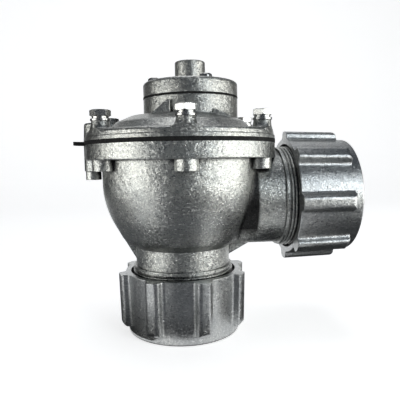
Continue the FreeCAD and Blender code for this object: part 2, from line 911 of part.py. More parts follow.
def springs():
    """The closing springs of both diaphragms."""
    pilot_r = spring_bore_r - pilot_spring_play
    return {
        "main_spring": helix_spring(
            rivet_head_r + main_spring_low_play, ceiling_r - main_spring_high_play, middle_top + plate_t + spring_gap,
            ceiling_z - spring_gap, main_spring_turns, main_wire_r),
        "pilot_spring": helix_spring(
            pilot_r, pilot_r, cap_low + pilot_plate_t + spring_gap,
            spring_bore_top - spring_gap, pilot_spring_turns, pilot_wire_r, pilot_x),
    }


def valve():
    """Every piece of the valve by name."""
    bolts, spring_washers, flat_washers = flange_hardware()
    return {
        "valve_body": valve_body(),
        "main_cover": main_cover(),
        "pilot_cap": pilot_cap(),
        "main_diaphragm": main_diaphragm(),
        "pilot_diaphragm": pilot_diaphragm(),
        "cover_bolts": bolts,
        "cover_spring_washers": spring_washers,
        "cover_flat_washers": flat_washers,
        "cap_screws": cap_screws(),
        **main_disc_pieces(),
        **pilot_disc_pieces(),
        **springs(),
        **port_pieces(),
    }


os.makedirs("parts", exist_ok=True)
for name, shape in valve().items():
    shape.exportStep("parts/" + name + ".step")
    print(name, "solids", len(shape.Solids), "volume", round(shape.Volume), "valid", shape.isValid())
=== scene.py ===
import bmesh
import bpy
import math
from mathutils import Matrix, Vector


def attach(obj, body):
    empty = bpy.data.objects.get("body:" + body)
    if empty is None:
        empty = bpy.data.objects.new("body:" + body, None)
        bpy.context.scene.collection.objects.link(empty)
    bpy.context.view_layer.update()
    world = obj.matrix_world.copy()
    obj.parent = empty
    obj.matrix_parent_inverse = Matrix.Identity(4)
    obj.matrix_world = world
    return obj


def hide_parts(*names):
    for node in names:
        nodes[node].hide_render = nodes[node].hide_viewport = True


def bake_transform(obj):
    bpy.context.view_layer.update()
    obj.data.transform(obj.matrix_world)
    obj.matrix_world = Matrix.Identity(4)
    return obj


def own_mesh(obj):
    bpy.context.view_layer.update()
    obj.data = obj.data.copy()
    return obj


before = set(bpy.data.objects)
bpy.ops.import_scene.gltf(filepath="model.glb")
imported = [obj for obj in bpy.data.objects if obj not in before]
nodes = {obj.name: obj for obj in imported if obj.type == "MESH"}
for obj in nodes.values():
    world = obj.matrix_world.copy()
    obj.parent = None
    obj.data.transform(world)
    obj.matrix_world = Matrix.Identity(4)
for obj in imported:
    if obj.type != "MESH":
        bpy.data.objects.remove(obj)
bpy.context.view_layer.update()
scene = bpy.context.scene

# The camera stands where the photographer stood: level with the flange, a little to the left of the
# outlet's axis, looking slightly down. The lens and the lean were fitted to the photograph.
camera_spot = (-0.01514, -0.27130, 0.10486)
camera_aim = (0.0968, 0.9909, -0.0936)
camera_lean = math.radians(-0.96)
camera = bpy.data.objects.new("camera", bpy.data.cameras.new("camera"))
scene.collection.objects.link(camera)
camera.data.sensor_width = 36.0
camera.data.lens = 39.48
camera.data.clip_start = 0.01
camera_turn = Vector(camera_aim).to_track_quat("-Z", "Y").to_matrix() @ Matrix.Rotation(camera_lean, 3, "Z")
camera.matrix_world = Matrix.Translation(camera_spot) @ camera_turn.to_4x4()
scene.camera = camera


# The body is die-cast aluminium that came out of a tumbler: soft grey metal with a fine bright grain,
# small pits, and short nicks that catch the light. The necks carry a rolled 2 mm thread. Painted shade
# darkens its corners and gaps, and a painted shadow makes the corner between the bowl and the side neck dark.
def start_material(name, settings):
    """A new material with the given values on its shader."""
    material = bpy.data.materials.new(name)
    material.use_nodes = True
    shader = material.node_tree.nodes["Principled BSDF"]
    for socket, value in settings.items():
        shader.inputs[socket].default_value = value
    return material, material.node_tree, shader


def join(tree, kind, inputs, **settings):
    """Adds a node to a material, its inputs set or linked."""
    node = tree.nodes.new(kind)
    for key, value in settings.items():
        setattr(node, key, value)
    for socket, value in inputs.items():
        if isinstance(value, bpy.types.NodeSocket):
            tree.links.new(value, node.inputs[socket])
        else:
            node.inputs[socket].default_value = value
    return node


def work_out(tree, operation, *values):
    return join(tree, "ShaderNodeMath", dict(enumerate(values)), operation=operation).outputs[0]


def work_out_vector(tree, operation, *values):
    return join(tree, "ShaderNodeVectorMath", dict(enumerate(values)), operation=operation)


def spread(tree, value, low, high, to_low=0.0, to_high=1.0):
    """Stretches the values from low to high over another range."""
    stretched = join(tree, "ShaderNodeMapRange", {
        "Value": value, "From Min": low, "From Max": high, "To Min": to_low, "To Max": to_high})
    return stretched.outputs["Result"]


def grain(tree, spot, scale, detail=2.0, roughness=0.6, low=0.35, high=0.65, to_low=0.0, to_high=1.0):
    noise = join(tree, "ShaderNodeTexNoise", {
        "Vector": spot, "Scale": scale, "Detail": detail, "Roughness": roughness})
    return spread(tree, noise.outputs["Fac"], low, high, to_low, to_high)


def nicks(tree, spot, turn):
    """Short scratches that all run one way."""
    laid = join(tree, "ShaderNodeMapping", {
        "Vector": spot, "Rotation": turn, "Scale": (300.0, 1700.0, 1700.0)})
    return grain(tree, laid.outputs["Vector"], scale=1.0, detail=1.0, roughness=0.5, low=0.68, high=0.76)


def blend_colours(tree, share, first, second):
    """Mixes two colours. The mix node's colour sockets are 6 and 7, and its colour comes out of 2."""
    return join(tree, "ShaderNodeMix", {0: share, 6: first, 7: second}, data_type="RGBA").outputs[2]


def paint_corner_shade(tree, colour, reach, low, high, strength, corner_shade_colour):
    """Painted shade: darkens the colour in the corners and gaps that are narrower than the reach."""
    openness = join(tree, "ShaderNodeAmbientOcclusion", {"Distance": reach}, samples=8).outputs["AO"]
    return blend_colours(tree, spread(tree, openness, low, high, strength, 0.0), colour, corner_shade_colour)


def darker(colour, share):
    return [part * share for part in colour[:3]] + [1.0]


def cast_aluminium(name, light, dark, struck, low_gloss, high_gloss, relief, facet_tilt):
    """Tumbled casting with patches, fine mottle, pits, bright nicks and tiny flats that glint."""
    material, tree, shader = start_material(name, {"Metallic": 1.0})
    spot = join(tree, "ShaderNodeTexCoord", {}).outputs["Object"]
    patches = grain(tree, spot, scale=60.0, detail=4.0)
    mottle = grain(tree, spot, scale=900.0, roughness=0.7)
    pits = grain(tree, spot, scale=1100.0, detail=1.0, roughness=0.5, low=0.70, high=0.78)
    scars = nicks(tree, spot, (0.3, 0.8, 0.2))
    for turn in ((1.2, 0.1, 2.1), (2.2, 1.5, 0.9), (0.9, 2.6, 1.4)):
        scars = work_out(tree, "MAXIMUM", scars, nicks(tree, spot, turn))
    colour = blend_colours(tree, patches, light, dark)
    colour = blend_colours(tree, mottle, colour, darker(dark, 0.80))
    colour = blend_colours(tree, scars, colour, struck)
    colour = blend_colours(tree, pits, colour, darker(dark, 0.15))
    # Painted shade: the casting's colour darkens towards near black in its corners and gaps.
    colour = paint_corner_shade(tree, colour, reach=0.004, low=0.40, high=0.70, strength=0.92,
                            corner_shade_colour=(0.03, 0.03, 0.03, 1.0))
    tree.links.new(colour, shader.inputs["Base Color"])
    gloss = grain(tree, spot, scale=950.0, low=0.3, high=0.7, to_low=low_gloss, to_high=high_gloss)
    tree.links.new(gloss, shader.inputs["Roughness"])

    height = grain(tree, spot, scale=1400.0, low=0.25, high=0.75)
    for rough, weight in ((grain(tree, spot, scale=330.0), 0.9), (scars, -0.8), (pits, -1.0)):
        height = work_out(tree, "MULTIPLY_ADD", rough, weight, height)
    softened = join(tree, "ShaderNodeBevel", {"Radius": 0.0007}, samples=6)
    bump = join(tree, "ShaderNodeBump", {
        "Strength": 1.0, "Distance": relief, "Height": height, "Normal": softened.outputs[0]})
    facets = join(tree, "ShaderNodeTexVoronoi", {"Vector": spot, "Scale": 1700.0}).outputs["Color"]
    tilt = work_out_vector(tree, "MULTIPLY_ADD", facets, (facet_tilt,) * 3, (-facet_tilt / 2,) * 3)
    tilted = work_out_vector(tree, "ADD", bump.outputs[0], tilt.outputs[0])
    level = work_out_vector(tree, "NORMALIZE", tilted.outputs[0])
    tree.links.new(level.outputs[0], shader.inputs["Normal"])
    return material


def paint_bowl_corner_shadow(material, corner_shadow_colour):
    """Paints shadow into the corner between the bowl and the side neck, as a near black colour."""
    tree = material.node_tree
    shader = tree.nodes["Principled BSDF"]
    spot = join(tree, "ShaderNodeTexCoord", {}).outputs["Object"]
    across = work_out_vector(tree, "MULTIPLY_ADD", spot, (0.0, 1.0, 1.0), (0.0, 0.0, -inlet_height))
    from_neck_axis = work_out_vector(tree, "LENGTH", across.outputs[0]).outputs["Value"]
    place = join(tree, "ShaderNodeSeparateXYZ", {"Vector": spot})
    share = spread(tree, from_neck_axis, *corner_shadow_radius, 1.0, 0.0)
    for fade in (spread(tree, place.outputs["X"], *corner_shadow_right, 1.0, 0.0),
                 spread(tree, place.outputs["X"], *corner_shadow_left),
                 spread(tree, place.outputs["Z"], *corner_shadow_low)):
        share = work_out(tree, "MULTIPLY", share, fade)
    tumbled = shader.inputs["Base Color"].links[0].from_socket
    tree.links.new(blend_colours(tree, share, tumbled, corner_shadow_colour), shader.inputs["Base Color"])


def fit_piece(bm, name, body, replaced, material):
    """Makes a piece of a mesh, ties it to its body and hides the solids that it stands for."""
    mesh = bpy.data.meshes.new(name)
    bm.to_mesh(mesh)
    bm.free()
    old_normals = mesh.attributes.get("custom_normal")
    if old_normals:
        mesh.attributes.remove(old_normals)
    for face in mesh.polygons:
        face.use_smooth = True
    mesh.set_sharp_from_angle(angle=math.radians(35.0))
    mesh.materials.clear()
    mesh.materials.append(material)
    piece = bpy.data.objects.new(name, mesh)
    scene.collection.objects.link(piece)
    even = piece.modifiers.new("even", "WEIGHTED_NORMAL")
    even.keep_sharp = True
    even.mode = "FACE_AREA_WITH_ANGLE"
    if body:
        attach(piece, body)
    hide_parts(*replaced)
    return piece


def copy_of(node):
    """A merged copy of a solid's mesh."""
    bm = bmesh.new()
    bm.from_mesh(nodes[node].data)
    bmesh.ops.remove_doubles(bm, verts=bm.verts[:], dist=1e-6)
    bmesh.ops.dissolve_degenerate(bm, dist=1e-7, edges=bm.edges[:])
    return bm


def thread_tap(low, high, pitch, root, crest, foot_half, crest_half):
    """The path of a thread-cutting tool round +Z, a closed bar wound from low to high."""
    bm = bmesh.new()
    spots = [bm.verts.new((r, 0.0, low + h)) for r, h in (
        (root, -crest_half), (crest, -foot_half), (crest, foot_half), (root, crest_half))]
    start = bm.faces.new(spots)
    steps_per_turn = 48
    steps = int(round((high - low) / pitch * steps_per_turn))
    bmesh.ops.spin(bm, geom=[start] + start.edges[:] + start.verts[:], cent=(0, 0, 0), axis=(0, 0, 1),
                   dvec=(0, 0, pitch / steps_per_turn), angle=math.tau * steps / steps_per_turn, steps=steps)
    bmesh.ops.recalc_face_normals(bm, faces=bm.faces[:])
    return bm


def inlet_place(reach):
    """The move from the outlet's axis to the inlet's, with zero at the given reach."""
    return Matrix.Translation((reach, 0, inlet_height)) @ Matrix.Rotation(math.radians(-90.0), 4, "Y")


def lay_at_inlet(bm, reach):
    bmesh.ops.transform(bm, matrix=inlet_place(reach), verts=bm.verts[:])
    return bm


def carve(bm, tools, operation="DIFFERENCE"):
    """Cuts one mesh with others and gives back the result."""
    meshes = []
    for source in [bm] + tools:
        mesh = bpy.data.meshes.new("cut")
        source.to_mesh(mesh)
        source.free()
        meshes.append(mesh)
    work = bpy.data.objects.new("cut", meshes[0])
    scene.collection.objects.link(work)
    cutters = []
    for mesh in meshes[1:]:
        cutter = bpy.data.objects.new("cutter", mesh)
        scene.collection.objects.link(cutter)
        cutters.append(cutter)
        modifier = work.modifiers.new("cut", "BOOLEAN")
        modifier.operation = operation
        modifier.object = cutter
        modifier.solver = "EXACT"
    bpy.context.view_layer.update()
    done = bmesh.new()
    done.from_object(work, bpy.context.evaluated_depsgraph_get())
    for holder in [work] + cutters:
        bpy.data.objects.remove(holder)
    for mesh in meshes:
        bpy.data.meshes.remove(mesh)
    return done


inlet_height = 0.0808
neck_end = 0.0991
thread_pitch = 0.002
neck_thread = {"low": 0.0128, "high": 0.0392, "pitch": thread_pitch, "root": 0.0299, "crest": 0.0312,
               "foot_half": 0.0009, "crest_half": 0.00012}
body_metal = cast_aluminium(
    "body casting", light=(0.58, 0.58, 0.545, 1.0), dark=(0.42, 0.435, 0.425, 1.0),
    struck=(0.86, 0.86, 0.84, 1.0), low_gloss=0.24, high_gloss=0.38, relief=0.00008, facet_tilt=0.20)
# Painted shadow: the near black corner lies within these distances from the side neck's axis and these x and
# z limits.
corner_shadow_radius = (0.0293, 0.0310)
corner_shadow_left = (0.027, 0.031)
corner_shadow_right = (0.0420, 0.0436)
corner_shadow_low = (0.058, 0.064)
paint_bowl_corner_shadow(body_metal, (0.03, 0.03, 0.03, 1.0))
threads = [thread_tap(**neck_thread), lay_at_inlet(thread_tap(**neck_thread), neck_end)]
fit_piece(carve(copy_of("valve_body"), threads), "body_casting", "valve", ["valve_body"], body_metal)


# The cover and the cap come out of the same tumbler, a shade duller. Each bolt's boss ends in a thin
# sleeve. A flat fin at each side of the dome braces the pilot's housing and ends with an upright edge.
def spun(outline, axis_x=0.0, turn=math.tau, steps=96, first=0.0):
    """Turns a line of points (radius, height) round an upright axis; a whole turn is welded shut."""
    bm = bmesh.new()
    spots = [bm.verts.new((math.cos(first) * r + axis_x, math.sin(first) * r, z)) for r, z in outline]
    line = [bm.edges.new(pair) for pair in zip(spots, spots[1:])]
    whole = turn > math.tau - 1e-6
    bmesh.ops.spin(bm, geom=line + spots, cent=(axis_x, 0, 0), axis=(0, 0, 1), angle=turn, steps=steps,
                   use_merge=whole)
    bmesh.ops.remove_doubles(bm, verts=bm.verts[:], dist=1e-7)
    bmesh.ops.recalc_face_normals(bm, faces=bm.faces[:])
    return bm


def flat_ring(inner, outer, low, high, axis_x=0.0):
    return spun([(inner, low), (outer, low), (outer, high), (inner, high), (inner, low)], axis_x)


def upright_plate(outline, y_low, y_high):
    """A flat plate parallel to the XZ plane, its outline given as points (x, z)."""
    bm = bmesh.new()
    face = bm.faces.new([bm.verts.new((x, y_low, z)) for x, z in outline])
    grown = bmesh.ops.extrude_face_region(bm, geom=[face])["geom"]
    bmesh.ops.translate(bm, vec=(0, y_high - y_low, 0),
                        verts=[part for part in grown if isinstance(part, bmesh.types.BMVert)])
    bmesh.ops.recalc_face_normals(bm, faces=bm.faces[:])
    return bm


def oblong(low_x, high_x, low_z, high_z):
    return [(low_x, low_z), (high_x, low_z), (high_x, high_z), (low_x, high_z)]


cover_metal = cast_aluminium(
    "cover casting", light=(0.52, 0.515, 0.48, 1.0), dark=(0.36, 0.37, 0.36, 1.0),
    struck=(0.86, 0.86, 0.84, 1.0), low_gloss=0.26, high_gloss=0.40, relief=0.00008, facet_tilt=0.20)
bolt_count = 6
bolt_circle = 0.0517
first_bolt = -90.0
sleeve_bore = 0.0040
sleeve_radius = 0.00495
sleeve_low = 0.1222
sleeve_high = 0.12605
cover = copy_of("main_cover")
sleeves = []
for number in range(bolt_count):
    turn = math.radians(first_bolt + 360.0 / bolt_count * number)
    sleeve = flat_ring(sleeve_bore, sleeve_radius, sleeve_low, sleeve_high)
    bmesh.ops.translate(sleeve, vec=(bolt_circle * math.cos(turn), bolt_circle * math.sin(turn), 0),
                        verts=sleeve.verts[:])
    sleeves.append(sleeve)
cover = carve(cover, sleeves, "UNION")

pilot_axis = 0.00655
housing_radius = 0.02853
housing_low = 0.12
housing_high = 0.15
dome_top = 0.13062
fin_front = 0.02745
fin_back = 0.02425
fin_outline = [(-0.00685, 0.1290), (-0.00685, 0.1372), (-0.0070, 0.1375), (-0.0075, 0.1377),
               (-0.0082, 0.1377), (-0.0088, 0.1374), (-0.0093, 0.1370), (-0.0183, 0.1289)]
gap_front = 0.0290
gap_back = 0.0220
gap_left = -0.00695
gap_right = 0.0170
gap_top = 0.1385
for side in (-1, 1):
    fin = upright_plate(fin_outline, *sorted((side * fin_front, side * fin_back)))
    cover = carve(cover, [fin], "UNION")
    for low_x, high_x in ((gap_left, pilot_axis), (pilot_axis, gap_right)):
        gap = upright_plate(oblong(low_x, high_x, dome_top, gap_top),
                            *sorted((side * gap_front, side * gap_back)))
        housing = spun([(0.0, housing_low), (housing_radius, housing_low), (housing_radius, housing_high),
                        (0.0, housing_high)], pilot_axis)
        cover = carve(cover, [carve(gap, [housing])])
fit_piece(cover, "cover_casting", "valve", ["main_cover"], cover_metal)
port_tap = thread_tap(low=0.1524, high=0.1636, pitch=0.001337, root=0.0056, crest=0.0065, foot_half=0.0001,
                      crest_half=0.0006)
bmesh.ops.translate(port_tap, vec=(pilot_axis, 0, 0), verts=port_tap.verts[:])
fit_piece(carve(copy_of("pilot_cap"), [port_tap]), "cap_casting", "valve", ["pilot_cap"], cover_metal)


# The main sheet is cut from black rubber and clamped between body and cover, with a tab at the ear. It
# shows as a black line there, squeezed out a little. Inside it rolls down to the disc that it moves with.
def rubber(name, shade, gloss):
    material, tree, shader = start_material(name, {"Specular IOR Level": 0.2})
    spot = join(tree, "ShaderNodeTexCoord", {}).outputs["Object"]
    dust = grain(tree, spot, scale=500.0, detail=3.0, low=0.4, high=0.8)
    dusty = (shade * 2.2, shade * 2.2, shade * 2.1, 1.0)
    colour = blend_colours(tree, dust, (shade, shade, shade, 1.0), dusty)
    tree.links.new(colour, shader.inputs["Base Color"])
    dullness = grain(tree, spot, scale=900.0, roughness=0.5, low=0.3, high=0.7, to_low=gloss - 0.1,
                     to_high=gloss + 0.15)
    tree.links.new(dullness, shader.inputs["Roughness"])
    bump = join(tree, "ShaderNodeBump", {
        "Strength": 1.0, "Distance": 0.00005, "Height": grain(tree, spot, scale=1500.0)})
    tree.links.new(bump.outputs[0], shader.inputs["Normal"])
    return material


def rounded_section(corners, round_by, segments=3):
    """A closed section (radius, height) with its corners rounded, as a line that ends where it starts."""
    bm = bmesh.new()
    face = bm.faces.new([bm.verts.new((r, 0.0, z)) for r, z in corners])
    bmesh.ops.bevel(bm, geom=face.verts[:], offset=round_by, segments=segments, profile=0.5,
                    affect="VERTICES", material=-1)
    bm.faces.ensure_lookup_table()
    line = [(loop.vert.co.x, loop.vert.co.z) for loop in bm.faces[0].loops]
    bm.free()
    return line + line[:1]


def edges_of_outline(bm, is_outer):
    """The sharp edges that lie on a sheet's outline."""
    return [edge for edge in bm.edges if len(edge.link_faces) == 2 and edge.calc_face_angle() > 1.2 and
            all(is_outer(vert.co) for vert in edge.verts)]


def press_out(bm, reach, middle, proud, growth, axis_x=0.0):
    """Lets the outer edge of a clamped sheet bulge out of its joint, a little proud and thicker."""
    bm.normal_update()
    for vert in bm.verts:
        if math.hypot(vert.co.x - axis_x, vert.co.y) > reach:
            vert.co.x += vert.normal.x * proud
            vert.co.y += vert.normal.y * proud
            vert.co.z = middle + (vert.co.z - middle) * growth


def rounded_line(corners, segments=4):
    """A line of points (radius, height) with each inner corner rounded by its bend, given third."""
    spots = [Vector((r, z)) for r, z, bend in corners]
    line = [spots[0]]
    for before, spot, after, (r, z, bend) in zip(spots, spots[1:], spots[2:], corners[1:]):
        back = (before - spot).normalized()
        ahead = (after - spot).normalized()
        reach = bend / math.tan(back.angle(ahead) / 2)
        start = spot + back * reach
        end = spot + ahead * reach
        for step in range(segments + 1):
            share = step / segments
            line.append(start.lerp(spot, share).lerp(spot.lerp(end, share), share))
    return line + [spots[-1]]


def sector(line, thickness, turn, first, axis_x=0.0):
    """A slice of a sheet whose middle follows the line."""
    bm = spun(line, axis_x, turn, 6, first)
    bm.normal_update()
    if sum(face.normal.z for face in bm.faces) < 0.0:
        bmesh.ops.reverse_faces(bm, faces=bm.faces[:])
        bm.normal_update()
    for vert in bm.verts:
        vert.co += vert.normal * (thickness / 2)
    bmesh.ops.solidify(bm, geom=bm.faces[:], thickness=thickness)
    bmesh.ops.recalc_face_normals(bm, faces=bm.faces[:])
    return bm


def direction(angle):
    return Vector((math.cos(angle), math.sin(angle), 0.0))


sheet_rubber = rubber("sheet rubber", shade=0.010, gloss=0.7)
sheet_thick = 0.0015
rim_low = 0.1141
rim_middle = rim_low + sheet_thick / 2
rim_inside = 0.0436
rim_band = 0.0565
rim_outline = 0.0567
tab_root = -0.0572
tab_out = 0.0068
tab_half = 0.004
tab_rise = 0.0002
rim = carve(copy_of("main_diaphragm"), [flat_ring(rim_inside, 0.08, 0.10, 0.13)], "INTERSECT")
bmesh.ops.remove_doubles(rim, verts=rim.verts[:], dist=1e-6)
cut_count = 9
first_cut = -0.0566
cut_step = 0.0008
for step in range(cut_count):
    cut_x = first_cut - cut_step * step
    bmesh.ops.bisect_plane(rim, geom=rim.verts[:] + rim.edges[:] + rim.faces[:], dist=1e-7,
                           plane_co=(cut_x, 0, 0), plane_no=(1, 0, 0))
rim_edges = edges_of_outline(rim, lambda spot: spot.xy.length > rim_outline or spot.x < tab_root)
bmesh.ops.bevel(rim, geom=rim_edges, offset=0.0004, segments=2, profile=0.5, affect="EDGES", material=-1,
                clamp_overlap=True)
press_out(rim, rim_band, rim_middle, proud=0.0002, growth=1.5)
for vert in rim.verts:
    out = tab_root - vert.co.x
    if out > 0.0 and abs(vert.co.y) < tab_half:
        vert.co.z += tab_rise * (out / tab_out) ** 2
fit_piece(rim, "diaphragm_rim", "valve", ["main_diaphragm"], sheet_rubber)

middle_low = 0.1117
middle_high = middle_low + sheet_thick
sheet_middle = middle_low + sheet_thick / 2
fit_piece(spun(rounded_section(oblong(0.0041, 0.0266, middle_low, middle_high), 0.0002, 2)),
          "diaphragm_middle", "main_disc", ["main_diaphragm"], sheet_rubber)

roll_low = 0.1087
sector_count = 12
sector_turn = math.tau / sector_count
roll_line = rounded_line([
    (0.0265, sheet_middle, 0.0), (0.0280, sheet_middle, 0.0012), (0.03255, roll_low, 0.0020),
    (0.03755, roll_low, 0.0020), (0.0421, rim_middle, 0.0012), (0.0437, rim_middle, 0.0)])
for number in range(sector_count):
    first = number * sector_turn
    roll = fit_piece(sector(roll_line, sheet_thick, sector_turn, first), "diaphragm_roll_%02d" % (number + 1),
                     None, ["main_diaphragm"], sheet_rubber)
    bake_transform(roll)

# The pilot's sheet is flat and thinner black rubber, clamped between the housing and the cap by the four
# screws. Its middle is held by the pilot's disc, and the ring between them is laid in twelve flat sectors.
pilot_sheet_low = 0.1406
pilot_sheet_thick = 0.0009
pilot_sheet_high = pilot_sheet_low + pilot_sheet_thick
pilot_sheet_middle = pilot_sheet_low + pilot_sheet_thick / 2
pilot_rim_inside = 0.0185
pilot_band = 0.0281
pilot_outline = 0.0283
pilot_ring = flat_ring(pilot_rim_inside, 0.04, 0.13, 0.15, pilot_axis)
pilot_rim = carve(copy_of("pilot_diaphragm"), [pilot_ring], "INTERSECT")
bmesh.ops.remove_doubles(pilot_rim, verts=pilot_rim.verts[:], dist=1e-6)
pilot_edges = edges_of_outline(
    pilot_rim, lambda spot: math.hypot(spot.x - pilot_axis, spot.y) > pilot_outline)
bmesh.ops.bevel(pilot_rim, geom=pilot_edges, offset=0.00025, segments=2, profile=0.5, affect="EDGES",
                material=-1)
press_out(pilot_rim, pilot_band, pilot_sheet_middle, proud=0.00015, growth=1.63, axis_x=pilot_axis)
fit_piece(pilot_rim, "pilot_sheet_rim", "valve", ["pilot_diaphragm"], sheet_rubber)
pilot_section = rounded_section(oblong(0.0019, 0.0116, pilot_sheet_low, pilot_sheet_high), 0.0001, 2)
fit_piece(spun(pilot_section, pilot_axis), "pilot_sheet_middle", "pilot_disc", ["pilot_diaphragm"],
          sheet_rubber)
flex_steps = 6
flex_inside = 0.0115
flex_width = 0.0071
flex_line = [(flex_inside + flex_width * step / flex_steps, pilot_sheet_middle)
             for step in range(flex_steps + 1)]
for number in range(sector_count):
    first = number * sector_turn
    flexing = fit_piece(sector(flex_line, pilot_sheet_thick, sector_turn, first, pilot_axis),
                        "pilot_sheet_flex_%02d" % (number + 1), None, ["pilot_diaphragm"], sheet_rubber)
    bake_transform(flexing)


# Six zinc-plated hexagon bolts with split washers and flat washers hold the cover. Four stainless
# pan-head screws with a cross recess hold the cap. Painted shade darkens the gaps between them.
def plated_steel(name, light, dark, low_gloss, high_gloss):
    material, tree, shader = start_material(name, {"Metallic": 1.0})
    spot = join(tree, "ShaderNodeTexCoord", {}).outputs["Object"]
    colour = blend_colours(tree, grain(tree, spot, scale=300.0, detail=3.0), light, dark)
    # Painted shade: the plated colour darkens in tight corners and gaps.
    colour = paint_corner_shade(tree, colour, reach=0.0012, low=0.35, high=0.65, strength=0.94,
                            corner_shade_colour=(0.02, 0.02, 0.02, 1.0))
    tree.links.new(colour, shader.inputs["Base Color"])
    gloss = grain(tree, spot, scale=1200.0, low=0.3, high=0.7, to_low=low_gloss, to_high=high_gloss)
    tree.links.new(gloss, shader.inputs["Roughness"])
    softened = join(tree, "ShaderNodeBevel", {"Radius": 0.0003}, samples=6)
    bump = join(tree, "ShaderNodeBump", {
        "Strength": 1.0, "Distance": 0.000002, "Height": grain(tree, spot, scale=900.0),
        "Normal": softened.outputs[0]})
    tree.links.new(bump.outputs[0], shader.inputs["Normal"])
    return material


def give(names, material):
    for name in names:
        for holder in nodes[name].material_slots:
            holder.material = material


zinc = plated_steel("bright zinc", light=(0.46, 0.455, 0.44, 1.0), dark=(0.35, 0.36, 0.36, 1.0),
                    low_gloss=0.20, high_gloss=0.30)
give(["cover_bolts", "cover_spring_washers", "cover_flat_washers"], zinc)
stainless = plated_steel("stainless screws", light=(0.50, 0.49, 0.47, 1.0), dark=(0.42, 0.42, 0.41, 1.0),
                         low_gloss=0.12, high_gloss=0.22)
screw_count = 4
screw_circle = 0.023
first_screw = -72.0
screw_seat = 0.1499
head_reach = 0.006
head_narrowing = 0.9
head_lowering = 0.84
cross_long = 0.0019
cross_narrow = 0.0004
cross_low = 0.1511
cross_high = 0.1530
screws = copy_of("cap_screws")
crosses = []
for number in range(screw_count):
    turn = math.radians(first_screw + 360.0 / screw_count * number)
    x = pilot_axis + screw_circle * math.cos(turn)
    y = screw_circle * math.sin(turn)
    for vert in screws.verts:
        if vert.co.z > screw_seat - 0.0001 and math.hypot(vert.co.x - x, vert.co.y - y) < head_reach:
            vert.co = Vector((x + (vert.co.x - x) * head_narrowing, y + (vert.co.y - y) * head_narrowing,
                              screw_seat + (vert.co.z - screw_seat) * head_lowering))
    for half_x, half_y in ((cross_long, cross_narrow), (cross_narrow, cross_long)):
        arm = oblong(x - half_x, x + half_x, cross_low, cross_high)
        crosses.append(upright_plate(arm, y - half_y, y + half_y))
fit_piece(carve(screws, crosses), "cross_screws", "valve", ["cap_screws"], stainless)

# Inside, stamped aluminium discs and rivets clamp the sheets' middles, with rubber seats below them. In
# the nuts a rubber seal lies behind a steel washer.
disc_metal = plated_steel("stamped aluminium", light=(0.72, 0.73, 0.74, 1.0), dark=(0.62, 0.63, 0.64, 1.0),
                          low_gloss=0.3, high_gloss=0.45)
give(["main_seat_disc", "main_retaining_plate", "main_disc_rivet", "pilot_seat_disc", "pilot_retaining_plate",
      "pilot_disc_rivet"], disc_metal)
give(["outlet_washer", "inlet_washer"], zinc)
seat_rubber = rubber("seat rubber", shade=0.02, gloss=0.55)
seat_ring = spun(rounded_section(oblong(0.01915, 0.02635, 0.1079, 0.1097), 0.0004))
fit_piece(seat_ring, "main_seat_ring", "main_disc", ["main_seat_rubber"], seat_rubber)
seat_pad = spun([(0.0, 0.1377), (0.0092, 0.1377), (0.0096, 0.13775), (0.0099, 0.1379), (0.0100, 0.1382),
                 (0.0100, 0.1389), (0.0099, 0.1391), (0.0097, 0.1392), (0.0, 0.1392)], pilot_axis)
fit_piece(seat_pad, "pilot_seat_pad", "pilot_disc", ["pilot_seat_rubber"], seat_rubber)
seal_corners = [(0.02445, 0.0061), (0.0304, 0.0061), (0.0304, 0.0131), (0.0280, 0.0131), (0.0254, 0.0157),
                (0.02445, 0.0157)]
seal_section = rounded_section(seal_corners, 0.0004)
inlet_nut_face = 0.1018
fit_piece(spun(seal_section), "outlet_seal_ring", "outlet_gland", ["outlet_seal"], seat_rubber)
fit_piece(lay_at_inlet(spun(seal_section), inlet_nut_face), "inlet_seal_ring", "inlet_gland", ["inlet_seal"],
          seat_rubber)


# Both closing springs are wound from plain steel wire, their end turns closed up. The main one widens
# upwards.
def wound_spring(low, high, low_radius, high_radius, wire_radius, turns, axis_x=0.0):
    """Round wire wound upwards, its first and last turns closed up to give flat ends."""
    bm = bmesh.new()
    bmesh.ops.create_circle(bm, cap_ends=True, radius=wire_radius, segments=12,
                            matrix=Matrix.Rotation(math.radians(90.0), 4, "X"))
    bmesh.ops.translate(bm, vec=(low_radius, 0, low + wire_radius), verts=bm.verts[:])
    steps_per_turn = 32
    steps = int(turns * steps_per_turn)
    rise = high - low - 2 * wire_radius
    dead = 0.75 * steps_per_turn
    live = steps - 2 * dead
    closed_rise = min(2.05 * wire_radius, rise / turns) * 0.75

    def height(step):
        if step < dead:
            return closed_rise * step / dead
        if step > steps - dead:
            return rise - closed_rise * (steps - step) / dead
        return closed_rise + (rise - 2 * closed_rise) * (step - dead) / live

    end_edges = bm.edges[:]
    turn = Matrix.Rotation(math.tau / steps_per_turn, 3, "Z")
    for step in range(steps):
        grown = bmesh.ops.extrude_edge_only(bm, edges=end_edges)
        spots = [part for part in grown["geom"] if isinstance(part, bmesh.types.BMVert)]
        end_edges = [part for part in grown["geom"] if isinstance(part, bmesh.types.BMEdge) and
                     part.verts[0] in spots and part.verts[1] in spots]
        widen = direction(math.tau * step / steps_per_turn) * ((high_radius - low_radius) / steps)
        climb = Vector((0, 0, height(step + 1) - height(step)))
        bmesh.ops.translate(bm, vec=widen + climb, verts=spots)
        bmesh.ops.rotate(bm, cent=(0, 0, 0), matrix=turn, verts=spots)
    bmesh.ops.contextual_create(bm, geom=end_edges)
    bmesh.ops.translate(bm, vec=(axis_x, 0, 0), verts=bm.verts[:])
    bmesh.ops.recalc_face_normals(bm, faces=bm.faces[:])
    return bm


